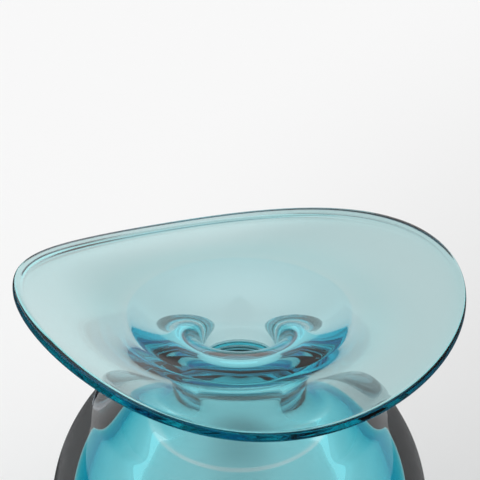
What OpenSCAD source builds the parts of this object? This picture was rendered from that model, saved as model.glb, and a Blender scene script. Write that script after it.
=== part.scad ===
// Hand blown glass vase: a teal colour bubble cased in thick clear glass, with a narrow
// throat and a broad thin lip opened out into a saddle shaped wave.
// Millimetres, +Z up. The origin is the middle of the foot, on the table.

/* [Body] */
// outer diameter of the clear casing
body_d = 138; // [134:1:150]
// height of the widest part over the table
body_z = 62; // [60:0.5:64]
// diameter of the hollow inside the colour bubble
cavity_d = 76; // [70:1:80]
// thickness of the teal colour layer
colour_t = 3.2; // [2.4:0.1:3.4]

/* [Foot] */
// diameter of the polished pontil hollow under the foot
pontil_d = 34; // [26:1:36]
// depth of the pontil hollow
pontil_h = 2.4; // [1.5:0.1:3.5]
// rounding of the foot edge
foot_round = 3; // [2:0.5:4]

/* [Neck] */
// narrowest width of the throat
throat_d = 26; // [24:1:29]
// height of the narrowest throat over the widest part
throat_rise = 68; // [66:1:70]
// outer width of the clear neck at its waist
waist_d = 45; // [43:1:49]
// height of the waist over the widest part
waist_rise = 62; // [60:1:64]
// width at which the throat has opened into the flat lip
fold_d = 82; // [80:1:84]
// height of the lip fold over the widest part
fold_rise = 83.5; // [83:0.5:86]
// thickness of the glass at the fold
fold_t = 6; // [5.5:0.1:6.5]

/* [Lip] */
// mean outer diameter of the flared lip
lip_d = 164; // [150:1:176]
// mean height of the rim over the fold
rim_rise = 4.2; // [2:0.1:6]
// thickness of the lip between the fold and the rim
lip_t = 3.6; // [3:0.1:4.2]
// thickness of the rounded rim, which the fire has drawn up into a slight bead
rim_t = 4.4; // [4.2:0.1:5]
// height of the saddle wave at the rim
saddle = 8.4; // [0:0.2:10]
// turn of the high sides of the saddle, in degrees
saddle_turn = 17; // [0:1:90]
// tip of the whole rim to one side
tip = 2.4; // [0:0.1:3]
// small threefold ripple left by the opening tool
ripple = 1.0; // [0:0.1:2]

/* [Hidden] */
$fn = 96;
body_r = body_d / 2;
cavity_r = cavity_d / 2;
throat_r = throat_d / 2;
waist_r = waist_d / 2;
fold_r = fold_d / 2;
lip_r = lip_d / 2;
throat_z = body_z + throat_rise;
waist_z = body_z + waist_rise;
fold_z = body_z + fold_rise;
// angle over the widest part at which the body's round side turns into the shoulder
shoulder_a = 38;
// angle at which the hollow's round side turns into the throat
mouth_a = 44;
// angle under the widest part at which the body's round side meets the foot
foot_a = asin((body_z - foot_round) / (body_r - foot_round));
// cuts around the lip and steps along each one
around = 80;
lip_steps = 10;
// radius of the lip's corners at the fold, so that its flats touch the round neck
fold_corner = fold_r / cos(180 / around);

// ---- curves: points are [radius, height] ----
function mix(a, b, t) = a + (b - a) * t;

function cubic(a, b, c, d, t) =
    pow(1 - t, 3) * a + 3 * pow(1 - t, 2) * t * b + 3 * (1 - t) * t * t * c + pow(t, 3) * d;

// a cubic curve in n steps, without its first point
function curve(a, b, c, d, n) = [for (i = [1 : n]) cubic(a, b, c, d, i / n)];

// an arc from angle a0 to a1 in n steps, without its first point
function arc(r, z, rad, a0, a1, n) =
    [for (i = [1 : n]) let (a = mix(a0, a1, i / n)) [r + rad * cos(a), z + rad * sin(a)]];

function upside_down(p) = [for (i = [len(p) - 1 : -1 : 0]) p[i]];

// unit direction square to the line at point i, to the left of its run
function side(p, i) =
    let (a = p[max(0, i - 1)], b = p[min(len(p) - 1, i + 1)], d = (b - a) / norm(b - a))
    [-d[1], d[0]];

// the line moved sideways by t
function beside(p, t) = [for (i = [0 : len(p) - 1]) p[i] + t * side(p, i)];

// ---- inner face of the glass, from the fold down the throat to the floor of the hollow ----
fold_top = [fold_r, fold_z];
fold_low = [fold_r, fold_z - fold_t];
throat = [throat_r, throat_z];
mouth = [cavity_r * cos(mouth_a), body_z + cavity_r * sin(mouth_a)];
mouth_dir = [sin(mouth_a), -cos(mouth_a)];

throat_face = concat([fold_top],
    curve(fold_top, fold_top - [18, 0], throat + [0, 9], throat, 12),
    curve(throat, throat - [0, 10], mouth - 10 * mouth_dir, mouth, 6));
hollow_line = concat([mouth], arc(0, body_z, cavity_r, mouth_a, -90, 16));

throat_back = beside(throat_face, colour_t);
hollow_back = arc(0, body_z, cavity_r + colour_t, mouth_a, -90, 16);
// the liner's back, with its ends put on the fold and on the bubble
last = len(throat_face) - 1;
mouth_back = mouth + colour_t * [cos(mouth_a), sin(mouth_a)];
liner_back = [for (i = [0 : last])
    i == 0 ? fold_top - [0, colour_t] : i == last ? mouth_back : throat_back[i]];

// ---- outer face of the clear casing, from the fold down to the pontil hollow ----
waist = [waist_r, waist_z];
shoulder = [body_r * cos(shoulder_a), body_z + body_r * sin(shoulder_a)];
shoulder_dir = [sin(shoulder_a), -cos(shoulder_a)];
foot_c = (body_r - foot_round) * cos(foot_a);
pontil_r = pontil_d / 2;
pontil_rad = (pontil_r * pontil_r + pontil_h * pontil_h) / (2 * pontil_h);
pontil_a = asin(pontil_r / pontil_rad);

outer_face = concat([fold_low],
    curve(fold_low, fold_low - [16, 6], waist + [0, 10], waist, 8),
    curve(waist, waist - [0, 7], shoulder - 9 * shoulder_dir, shoulder, 8),
    arc(0, body_z, body_r, shoulder_a, -foot_a, 22),
    arc(foot_c, foot_round, foot_round, -foot_a, -90, 4),
    [[pontil_r, 0]],
    [for (i = [1 : 6]) let (a = pontil_a * (1 - i / 6))
        [pontil_rad * sin(a), pontil_h - pontil_rad * (1 - cos(a))]]);

// ---- the lip: radius and height change with the angle around it ----
function wave(a) =
    saddle * cos(2 * (a - saddle_turn)) + tip * cos(a - 232) + ripple * cos(3 * (a + 50));

// u is 0 at the fold and 1 at the rim
function bead(u) = (rim_t - lip_t) * pow(u, 10);

function lip_top(u, a) =
    [mix(fold_corner, lip_r - rim_t / 2, u),
     fold_z + rim_rise * pow(u, 1.2) + wave(a) * pow(u, 1.5) + bead(u) / 2];

function lip_thick(u) = lip_t + (fold_t - lip_t) * pow(1 - u, 3) + bead(u);

// one cut through the lip: out along the top, round the rim and back underneath
function lip_cut(a) = concat(
    [for (i = [0 : lip_steps]) lip_top(i / lip_steps, a)],
    [for (b = [60 : -30 : -60]) lip_top(1, a) + [rim_t / 2 * cos(b), rim_t / 2 * (sin(b) - 1)]],
    [for (i = [lip_steps : -1 : 0])
        lip_top(i / lip_steps, a) - [0, lip_thick(i / lip_steps)]]);

module clear_casing() {
    color([0.86, 0.93, 0.94, 0.45])
    rotate_extrude()
    polygon(concat(outer_face, upside_down(hollow_back), upside_down(liner_back)));
}

module colour_bubble() {
    color([0.05, 0.55, 0.62, 0.8])
    rotate_extrude()
    polygon(concat(hollow_line, upside_down(hollow_back), [mouth_back]));
}

module throat_liner() {
    color([0.1, 0.65, 0.7, 0.8])
    rotate_extrude()
    polygon(concat(throat_face, upside_down(liner_back)));
}

module flared_lip() {
    cuts = [for (j = [0 : around - 1]) lip_cut(360 * j / around)];
    m = len(cuts[0]);
    points = [for (j = [0 : around - 1]) for (p = cuts[j])
        [p[0] * cos(360 * j / around), p[0] * sin(360 * j / around), p[1]]];
    faces = [for (j = [0 : around - 1]) for (i = [0 : m - 1])
        let (k = (j + 1) % around, n = (i + 1) % m)
        [j * m + i, j * m + n, k * m + n, k * m + i]];
    color([0.2, 0.72, 0.78, 0.7])
    polyhedron(points, faces);
}

clear_casing();
colour_bubble();
throat_liner();
flared_lip();
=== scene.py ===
"""Looks for a hand blown vase: teal glass cased in clear glass, with a broad waved lip.

Metres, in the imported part's frame. The clear glass is one closed skin over the whole vase, the lip
and the throat included. The teal glass lies inside it as closed colour volumes that don't bend
light, a little under its surface, so light meets no false air gap.
"""

import math

import bmesh
import bpy
import numpy as np
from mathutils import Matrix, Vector


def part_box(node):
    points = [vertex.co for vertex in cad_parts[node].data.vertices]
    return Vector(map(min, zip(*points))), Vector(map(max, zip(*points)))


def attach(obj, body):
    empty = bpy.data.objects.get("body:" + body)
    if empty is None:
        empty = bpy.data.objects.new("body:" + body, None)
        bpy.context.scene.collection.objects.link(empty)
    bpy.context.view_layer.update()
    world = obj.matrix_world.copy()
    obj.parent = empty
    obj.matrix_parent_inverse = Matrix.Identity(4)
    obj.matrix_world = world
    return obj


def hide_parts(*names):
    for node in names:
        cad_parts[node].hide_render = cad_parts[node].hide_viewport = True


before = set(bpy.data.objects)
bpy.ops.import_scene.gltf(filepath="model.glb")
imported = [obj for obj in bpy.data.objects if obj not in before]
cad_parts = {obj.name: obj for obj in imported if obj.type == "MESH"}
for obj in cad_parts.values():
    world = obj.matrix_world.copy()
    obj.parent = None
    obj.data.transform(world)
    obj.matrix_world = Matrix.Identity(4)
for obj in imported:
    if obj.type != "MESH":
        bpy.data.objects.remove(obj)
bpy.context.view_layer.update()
MM = 0.001

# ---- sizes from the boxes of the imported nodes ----
casing_low, casing_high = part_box("clear_casing")
bubble_low, bubble_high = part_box("colour_bubble")
liner_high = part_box("throat_liner")[1]
lip_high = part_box("flared_lip")[1]

BODY_R = casing_high.x
FOLD_R = liner_high.x
FOLD_Z = liner_high.z
LIP_R = lip_high.x
BUBBLE_R = bubble_high.x
BODY_Z = bubble_low.z + BUBBLE_R

# ---- sizes repeated from the design ----
COLOUR_T = 3.2 * MM
FOLD_T = 6 * MM
LIP_T = 3.6 * MM
RIM_T = 4.4 * MM
RIM_RISE = 4.2 * MM
SADDLE = 8.4 * MM
SADDLE_TURN = 17
TIP = 2.4 * MM
TIP_TURN = 232
RIPPLE = 1.0 * MM
RIPPLE_TURN = 50
CAVITY_R = BUBBLE_R - COLOUR_T
THROAT = np.array([13 * MM, BODY_Z + 68 * MM])
THROAT_DOWN = 10 * MM
WAIST = np.array([22.5 * MM, BODY_Z + 62 * MM])
WAIST_UP = 10 * MM
WAIST_DOWN = 7 * MM
BELL_IN = np.array([-18 * MM, 0])
BELL_UP = 9 * MM
UNDER_IN = np.array([-16 * MM, -6 * MM])
MOUTH_A = 44
MOUTH_PULL = 10 * MM
SHOULDER_A = 38
SHOULDER_PULL = 9 * MM
FOOT_ROUND = 3 * MM
PONTIL_R = 17 * MM
PONTIL_H = casing_low.z + 2.4 * MM

# ---- sizes of the looks alone ----
# how deep the colour is in the bell mouth, and the share of the way down where it starts to grow
LINER_T = 2.5 * MM
LINER_GROWS = 0.75
# clear glass left under the lip's colour at the fold, and the share of the lip where it runs out
LIP_CLEAR = 2.4 * MM
LIP_CLEAR_ENDS = 0.3
# the rim's section, across and up: at 1 and 1 it would be round, and lower is squarer
RIM_ACROSS = 0.45
RIM_UP = 0.75
RIM_END = 80
# width of the flat ring's inner edge, where it turns into the pontil hollow
GROUND_EDGE = 0.6 * MM
# how far the colour lies under the skin, and how far two colour volumes stay apart
UNDER_SKIN = 0.12 * MM
APART = 0.02 * MM
# out-of-roundness of the body: share of the radius, waves around, start and twist with height
HAND = [(0.0012, 2, 1.1, 1.3), (0.0006, 5, 0.4, -2.1), (0.0003, 11, 2.0, 3.0)]

# ---- steps along each stretch, and round the vase ----
BELL_STEPS = 48
THROAT_STEPS = 24
HOLLOW_STEPS = 72
UNDER_STEPS = 32
NECK_STEPS = 36
BODY_STEPS = 96
FOOT_STEPS = 12
PONTIL_STEPS = 12
LIP_STEPS = 40
RIM_STEPS = 16
AROUND = 256
# a ring smaller than this is a point on the axis
ON_AXIS = 1e-7


# ---- curves in the half plane [radius, height], as in the design ----
def polar(angle):
    return np.array([math.cos(math.radians(angle)), math.sin(math.radians(angle))])


def downhill(angle):
    """The direction of a circle's outline at this angle, on its way down."""
    across, up = polar(angle)
    return np.array([up, -across])


def curve(a, b, c, d, steps):
    """A cubic curve, without its first point."""
    t = np.linspace(0, 1, steps + 1)[1:, None]
    return (1 - t) ** 3 * a + 3 * (1 - t) ** 2 * t * b + 3 * (1 - t) * t * t * c + t ** 3 * d


def arc(centre, radius, start, end, steps):
    """A round stretch, without its first point."""
    angles = np.linspace(start, end, steps + 1)[1:]
    return np.array([centre + radius * polar(a) for a in angles])


def beside(line, shift):
    """The line moved to the left of its run; shift is one distance or one for each point."""
    run = np.gradient(line, axis=0)
    run /= np.linalg.norm(run, axis=1)[:, None]
    left = np.stack([-run[:, 1], run[:, 0]], axis=1)
    return line + left * np.broadcast_to(shift, len(line))[:, None]


def inner_face():
    """Two lines: down the bell and the throat, and round the hollow to the middle of its floor."""
    fold = np.array([FOLD_R, FOLD_Z])
    middle = np.array([0, BODY_Z])
    mouth = middle + CAVITY_R * polar(MOUTH_A)
    into = downhill(MOUTH_A)
    bell = curve(fold, fold + BELL_IN, THROAT + [0, BELL_UP], THROAT, BELL_STEPS)
    neck = curve(THROAT, THROAT - [0, THROAT_DOWN], mouth - MOUTH_PULL * into, mouth, THROAT_STEPS)
    hollow = arc(middle, CAVITY_R, MOUTH_A, -90, HOLLOW_STEPS)
    return np.vstack([[fold], bell, neck]), np.vstack([[mouth], hollow])


def pontil_line():
    """From the ground edge of the pontil hollow to its middle."""
    return [[PONTIL_R * math.sqrt(1 - t * t), PONTIL_H * t]
            for t in np.linspace(0, 1, PONTIL_STEPS + 1)]


def outer_face():
    """Down the neck, round the body and under the foot to the middle of the pontil hollow."""
    fold = np.array([FOLD_R, FOLD_Z - FOLD_T])
    middle = np.array([0, BODY_Z])
    shoulder = middle + BODY_R * polar(SHOULDER_A)
    before_shoulder = shoulder - SHOULDER_PULL * downhill(SHOULDER_A)
    foot_a = math.degrees(math.asin((BODY_Z - FOOT_ROUND) / (BODY_R - FOOT_ROUND)))
    foot = np.array([(BODY_R - FOOT_ROUND) * math.cos(math.radians(foot_a)), FOOT_ROUND])
    return np.vstack([
        [fold],
        curve(fold, fold + UNDER_IN, WAIST + [0, WAIST_UP], WAIST, UNDER_STEPS),
        curve(WAIST, WAIST - [0, WAIST_DOWN], before_shoulder, shoulder, NECK_STEPS),
        arc(middle, BODY_R, SHOULDER_A, -foot_a, BODY_STEPS),
        arc(foot, FOOT_ROUND, -foot_a, -90, FOOT_STEPS),
        [[PONTIL_R + GROUND_EDGE, 0]],
        pontil_line(),
    ])


# ---- the lip, whose height changes round the vase ----
def wave(a):
    """Height of the rim over its mean: a saddle, a tip to one side and a small ripple."""
    return (SADDLE * np.cos(2 * (a - math.radians(SADDLE_TURN)))
            + TIP * np.cos(a - math.radians(TIP_TURN))
            + RIPPLE * np.cos(3 * (a + math.radians(RIPPLE_TURN))))


def lip_line(u, a, inset=0.0, under=False):
    """Radius and height on the lip's top, or under it; u is 0 at the fold and 1 at the rim."""
    bead = (RIM_T - LIP_T) * u ** 10
    thick = LIP_T + (FOLD_T - LIP_T) * (1 - u) ** 3 + bead
    top = FOLD_Z + RIM_RISE * u ** 1.2 + wave(a) * u ** 1.5 + bead / 2
    height = top - thick + inset if under else top - inset
    return FOLD_R + (LIP_R - RIM_T / 2 - FOLD_R) * u, height


def rim_point(b, a, inset=0.0):
    """A point on the rim's section; b is 90 degrees on top and -90 underneath."""
    radius, top = lip_line(1.0, a)
    across, up = polar(b)
    reach = RIM_T / 2 - inset
    out = reach * across ** RIM_ACROSS
    rise = reach * math.copysign(abs(up) ** RIM_UP, up)
    return radius + out, top - RIM_T / 2 + rise


# ---- meshes ----
def ring_points(bm, ring, angles):
    """The mesh points of one ring, or one point where the ring has closed on the axis."""
    radius, height = ring(angles)
    radius = np.broadcast_to(radius, AROUND)
    height = np.broadcast_to(height, AROUND)
    if radius.max() < ON_AXIS:
        return [bm.verts.new((0, 0, float(height[0])))]
    xs, ys = radius * np.cos(angles), radius * np.sin(angles)
    return [bm.verts.new((float(x), float(y), float(z))) for x, y, z in zip(xs, ys, height)]


def revolve(name, rings):
    """A closed mesh from rings, each a function of the angle that gives radius and height."""
    angles = np.arange(AROUND) * 2 * math.pi / AROUND
    bm = bmesh.new()
    made = [ring_points(bm, ring, angles) for ring in rings]
    pairs = list(zip(made, made[1:]))
    if len(made[0]) > 1:
        pairs.append((made[-1], made[0]))
    for first, second in pairs:
        for j in range(AROUND):
            k = (j + 1) % AROUND
            if len(first) == 1:
                bm.faces.new((first[0], second[j], second[k]))
            elif len(second) == 1:
                bm.faces.new((first[j], second[0], first[k]))
            else:
                bm.faces.new((first[j], second[j], second[k], first[k]))
    bmesh.ops.recalc_face_normals(bm, faces=bm.faces)
    mesh = bpy.data.meshes.new(name)
    bm.to_mesh(mesh)
    bm.free()
    mesh.shade_smooth()
    piece = bpy.data.objects.new(name, mesh)
    bpy.context.scene.collection.objects.link(piece)
    return piece


def hand(a, height):
    """How far the gaffer's hand left the body's glass out of round, as a share of its radius."""
    h = height / BODY_R
    return sum(share * np.sin(waves * a + start + twist * h) for share, waves, start, twist in HAND)


def settle(along):
    """Out-of-roundness along a face of the body: none at its two ends."""
    return np.sin(np.linspace(0, math.pi, along)) ** 0.5


def round_ring(point, out_of_round=0.0):
    """A ring at one point of an outline, a little out of round."""
    radius, height = float(point[0]), float(point[1])
    return lambda a: (radius * (1 + out_of_round * hand(a, height)), height)


def lip_ring(u, inset=0.0, under=False):
    return lambda a: lip_line(u, a, inset, under)


def rim_ring(b, inset=0.0):
    return lambda a: rim_point(b, a, inset)


def make_skin():
    """The whole surface of the vase, as one closed skin of clear glass."""
    bell, hollow = inner_face()
    inside = np.vstack([bell, hollow[1:]])
    outside = outer_face()
    rings = [round_ring(p, k) for p, k in zip(outside[::-1], settle(len(outside)))]
    steps = np.linspace(0, 1, LIP_STEPS + 1)
    rings += [lip_ring(u, under=True) for u in steps[1:]]
    rings += [rim_ring(b) for b in np.linspace(-RIM_END, RIM_END, RIM_STEPS + 1)]
    rings += [lip_ring(u) for u in steps[:0:-1]]
    rings += [round_ring(p) for p in inside]
    return revolve("clear_casing_skin", rings)


def make_bubble():
    """The colour round the hollow."""
    hollow = inner_face()[1]
    front = beside(hollow, UNDER_SKIN)
    back = beside(hollow, COLOUR_T)
    front[-1][0] = back[-1][0] = 0
    return revolve("colour_bubble_glass", [round_ring(p) for p in np.vstack([front[::-1], back])])


def make_liner():
    """The colour in the throat and the bell mouth, from just inside the fold."""
    bell = inner_face()[0]
    along = np.linspace(0, 1, len(bell))
    depth = np.interp(along, [0, LINER_GROWS, 1], [LINER_T, LINER_T, COLOUR_T])
    front = beside(bell, UNDER_SKIN)[:-1]
    back = beside(bell, depth)[:-1]
    front[0] = [FOLD_R - APART, FOLD_Z - UNDER_SKIN]
    back[0] = [FOLD_R - APART, FOLD_Z - LINER_T]
    return revolve("throat_liner_glass", [round_ring(p) for p in np.vstack([front, back[::-1]])])


def make_lip():
    """The lip's colour: part of the thickness at the fold, and all of it towards the rim."""
    steps = np.linspace(0, 1, LIP_STEPS + 1)
    rings = [lip_ring(u, UNDER_SKIN) for u in steps]
    rings += [rim_ring(b, UNDER_SKIN) for b in np.linspace(RIM_END, -RIM_END, RIM_STEPS + 1)]
    for u in steps[::-1]:
        clear = LIP_CLEAR * max(0.0, 1 - u / LIP_CLEAR_ENDS) ** 2
        rings.append(lip_ring(u, UNDER_SKIN + clear, under=True))
    return revolve("flared_lip_glass", rings)


# ---- materials: index, colour that the depth lets through, and how strongly it soaks ----
CLEAR_IOR = 1.5
CLEAR_SOAK = (0.50, 0.54, 0.58)
CLEAR_DENSITY = 3.2
TEAL_SOAK = (0.03, 0.87, 0.94)
TEAL_DENSITY = 172
LIP_SOAK = (0.05, 0.83, 0.865)
LIP_DENSITY = 94
# the colour volumes don't bend light: the clear skin round them does
COLOUR_IOR = 1.0
# slow swell of the clear surface: its height and how finely it is laid
SWELL = 0.02 * MM
SWELL_SCALE = 38


class Nodes:
    """A few short ways to write a node tree."""

    def __init__(self, tree):
        self.tree = tree

    def add(self, kind, **values):
        node = self.tree.nodes.new(kind)
        for key, value in values.items():
            setattr(node, key, value)
        return node

    def link(self, a, b):
        self.tree.links.new(a, b)

    def math(self, operation, a, b):
        """The result of a sum whose two terms are numbers or sockets."""
        node = self.add("ShaderNodeMath", operation=operation)
        for socket, value in zip(node.inputs, (a, b)):
            if isinstance(value, (int, float)):
                socket.default_value = value
            else:
                self.link(value, socket)
        return node.outputs[0]

    def ramp(self, factor, stops):
        """A ramp of greys; each stop is a place and a brightness."""
        node = self.add("ShaderNodeValToRGB")
        points = node.color_ramp.elements
        points.remove(points[0])
        for i, (place, grey) in enumerate(stops):
            point = points[0] if i == 0 else points.new(place)
            point.position = place
            point.color = (grey, grey, grey, 1)
        self.link(factor, node.inputs[0])
        return node.outputs[0]

    def fade(self, value, start, end):
        """A soft step; start and end are each a place and a result."""
        node = self.add("ShaderNodeMapRange", interpolation_type="SMOOTHSTEP")
        node.inputs["From Min"].default_value, node.inputs["To Min"].default_value = start
        node.inputs["From Max"].default_value, node.inputs["To Max"].default_value = end
        self.link(value, node.inputs["Value"])
        return node.outputs["Result"]

    def length(self, vector):
        node = self.add("ShaderNodeVectorMath", operation="LENGTH")
        self.link(vector, node.inputs[0])
        return node.outputs["Value"]

    def axes(self, vector):
        node = self.add("ShaderNodeSeparateXYZ")
        self.link(vector, node.inputs[0])
        return node.outputs


def add_swell(n, shader, height):
    """A slow unevenness of a glass surface."""
    swell = n.add("ShaderNodeTexNoise")
    swell.inputs["Scale"].default_value = SWELL_SCALE
    swell.inputs["Detail"].default_value = 1
    n.link(n.add("ShaderNodeTexCoord").outputs["Object"], swell.inputs["Vector"])
    rise = n.add("ShaderNodeBump")
    rise.inputs["Strength"].default_value = 1
    rise.inputs["Distance"].default_value = height
    n.link(swell.outputs["Fac"], rise.inputs["Height"])
    n.link(rise.outputs[0], shader.inputs["Normal"])


def glass(name, ior, soak, density, swell=0.0):
    """Glass whose colour comes only from its depth; the colour is even all through it."""
    material = bpy.data.materials.new(name)
    material.use_nodes = True
    n = Nodes(material.node_tree)
    shader = material.node_tree.nodes["Principled BSDF"]
    shader.inputs["Base Color"].default_value = (1, 1, 1, 1)
    shader.inputs["Transmission Weight"].default_value = 1
    shader.inputs["Roughness"].default_value = 0
    shader.inputs["IOR"].default_value = ior
    if swell:
        add_swell(n, shader, swell)
    depth = n.add("ShaderNodeVolumeAbsorption")
    depth.inputs["Color"].default_value = (*soak, 1)
    depth.inputs["Density"].default_value = density
    n.link(depth.outputs[0], material.node_tree.nodes["Material Output"].inputs["Volume"])
    return material


def put(piece, node, material):
    """The piece stands for a node of the design and takes the material it is given."""
    piece.data.materials.append(material)
    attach(piece, "root")
    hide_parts(node)


# ---- studio: the glass sees other walls and another table than the camera does ----
# the walls at each bearing, where 0 is behind the vase and 90 to its right
WALLS = [
    (-180, 0.3), (-150, 0.35), (-135, 0.8), (-100, 0.9), (-60, 1.0), (60, 1.0), (100, 0.8),
    (135, 0.7), (150, 0.3), (180, 0.3),
]
# what the walls are multiplied by at each height, where 0 is level and 1 straight up
UPWARD = [(0.25, 1.0), (0.48, 0.5), (0.6, 0.5), (1.0, 1.2)]
# the room as the camera and the matt floor see it
PLAIN_LIGHT = 1.06

FLOOR_SIZE = 8.0
FLOOR_TONE = 0.89
# the painted shade on the floor, a soft stretched round: its offset, stretch, edge, core and
# darkness
SHADE_OFFSET = (-0.44, 0.02, 0)
SHADE_STRETCH = (2, 1, 1)
SHADE_EDGE = 0.65
SHADE_CORE = 0.10
SHADE_TONE = FLOOR_TONE * 0.75
# the table as glass sees it, at each distance from the vase in metres: a painted shadow of the vase,
# darkest some 0.3 m out and still dim at 1 m
TABLE_PAINTED_SHADOW = [(0.0, 0.8), (0.3, 0.73), (1.0, 0.85)]
# A lighting trick that no real table does: light that has crossed only clear glass, so at most
# this many surfaces, finds the table darker by these shares on the left and on the right. It
# makes the grey bands at the casing's edges.
CLEAR_ONLY = 2.5
LEFT_EDGE = 0.86
RIGHT_EDGE = 0.92
EDGE_TURNS = 0.03


def wall_light(n, vector):
    """Brightness of the walls in the direction of a vector, and the vector's height."""
    x, y, height = n.axes(vector)[:3]
    share = n.math("ADD", n.math("DIVIDE", n.math("ARCTAN2", x, y), 2 * math.pi), 0.5)
    return n.ramp(share, [(bearing / 360 + 0.5, light) for bearing, light in WALLS]), height


def make_world():
    """Soft studio light: plain for the camera and the floor, and shaped for the glass."""
    world = bpy.data.worlds.new("studio")
    bpy.context.scene.world = world
    world.use_nodes = True
    world.node_tree.nodes.clear()
    n = Nodes(world.node_tree)
    # sampled light would ignore the split between plain and shaped light
    world.cycles.sampling_method = "NONE"
    seen, height = wall_light(n, n.add("ShaderNodeTexCoord").outputs["Generated"])
    path = n.add("ShaderNodeLightPath")
    plain = n.math("MAXIMUM", path.outputs["Is Camera Ray"], path.outputs["Is Diffuse Ray"])
    mix = n.add("ShaderNodeMix")
    n.link(plain, mix.inputs["Factor"])
    n.link(n.math("MULTIPLY", seen, n.ramp(height, UPWARD)), mix.inputs["A"])
    mix.inputs["B"].default_value = PLAIN_LIGHT
    back = n.add("ShaderNodeBackground")
    back.inputs["Color"].default_value = (1, 1, 1, 1)
    n.link(mix.outputs["Result"], back.inputs["Strength"])
    n.link(back.outputs[0], n.add("ShaderNodeOutputWorld").inputs[0])


def shaded_tone(n, place):
    """The floor as the camera sees it: pale, with a soft painted shade to the right."""
    shade = n.add("ShaderNodeMapping")
    shade.inputs["Location"].default_value = SHADE_OFFSET
    shade.inputs["Scale"].default_value = SHADE_STRETCH
    n.link(place, shade.inputs["Vector"])
    away = n.length(shade.outputs[0])
    return n.fade(away, (SHADE_EDGE, FLOOR_TONE), (SHADE_CORE, SHADE_TONE))


def glass_tone(n, place, path):
    """The floor as light from the glass finds it: a painted shadow of the vase, and darker painted
    shade where it crossed only clear glass.
    """
    clear_only = n.math("LESS_THAN", path.outputs["Transmission Depth"], CLEAR_ONLY)
    edge = n.fade(n.axes(place)[0], (EDGE_TURNS, LEFT_EDGE), (-EDGE_TURNS, RIGHT_EDGE))
    dark = n.math("MULTIPLY", clear_only, edge)
    table_painted_shadow = n.ramp(n.length(place), TABLE_PAINTED_SHADOW)
    seen = n.math("MULTIPLY", table_painted_shadow, n.math("SUBTRACT", 1.0, dark))
    return n.math("MULTIPLY", seen, FLOOR_TONE)


def floor_paint():
    material = bpy.data.materials.new("floor")
    material.use_nodes = True
    n = Nodes(material.node_tree)
    shader = material.node_tree.nodes["Principled BSDF"]
    shader.inputs["Roughness"].default_value = 0.95
    shader.inputs["Specular IOR Level"].default_value = 0
    place = n.add("ShaderNodeTexCoord").outputs["Object"]
    path = n.add("ShaderNodeLightPath")
    mix = n.add("ShaderNodeMix")
    n.link(path.outputs["Is Camera Ray"], mix.inputs["Factor"])
    n.link(glass_tone(n, place, path), mix.inputs["A"])
    n.link(shaded_tone(n, place), mix.inputs["B"])
    paint = n.add("ShaderNodeCombineColor")
    for socket in paint.inputs[:3]:
        n.link(mix.outputs["Result"], socket)
    n.link(paint.outputs[0], shader.inputs["Base Color"])
    return material


def make_floor():
    """A pale floor, level with the foot."""
    s = FLOOR_SIZE
    mesh = bpy.data.meshes.new("floor")
    mesh.from_pydata([(-s, -s, 0), (s, -s, 0), (s, s, 0), (-s, s, 0)], [], [(0, 1, 2, 3)])
    floor = bpy.data.objects.new("floor", mesh)
    bpy.context.scene.collection.objects.link(floor)
    floor.data.materials.append(floor_paint())


# ---- camera ----
CAMERA_ELEVATION = 29.5
CAMERA_DISTANCE = 2.5
# width of the view at the vase, and how far its middle lies off the body's middle in the view
VIEW_WIDTH = 172.8 * MM
VIEW_RIGHT = 0.18 * MM
VIEW_UP = 99 * MM


def make_camera():
    """The view from the front, well above the vase, which cuts off the lower body."""
    elevation = math.radians(CAMERA_ELEVATION)
    back = Vector((0, -math.cos(elevation), math.sin(elevation)))
    target = Vector((VIEW_RIGHT, 0, BODY_Z + VIEW_UP / math.cos(elevation)))
    data = bpy.data.cameras.new("camera")
    camera = bpy.data.objects.new("camera", data)
    bpy.context.scene.collection.objects.link(camera)
    camera.location = target + back * CAMERA_DISTANCE
    camera.rotation_mode = "QUATERNION"
    camera.rotation_quaternion = (-back).to_track_quat("-Z", "Y")
    data.sensor_width = 36
    data.lens = data.sensor_width * CAMERA_DISTANCE / VIEW_WIDTH
    data.clip_start = 0.01
    data.clip_end = 100
    bpy.context.scene.camera = camera


def tune_render():
    """Enough bounces for light to cross every wall of the glass."""
    scene = bpy.context.scene
    scene.view_settings.view_transform = "Standard"
    scene.cycles.max_bounces = 48
    scene.cycles.transmission_bounces = 48
    scene.cycles.glossy_bounces = 24
    scene.cycles.use_denoising = True


clear = glass("clear_glass", CLEAR_IOR, CLEAR_SOAK, CLEAR_DENSITY, SWELL)
put(make_skin(), "clear_casing", clear)
teal = glass("teal_glass", COLOUR_IOR, TEAL_SOAK, TEAL_DENSITY)
put(make_bubble(), "colour_bubble", teal)
put(make_liner(), "throat_liner", teal)
pale = glass("lip_glass", COLOUR_IOR, LIP_SOAK, LIP_DENSITY)
put(make_lip(), "flared_lip", pale)

make_world()
make_floor()
make_camera()
tune_render()
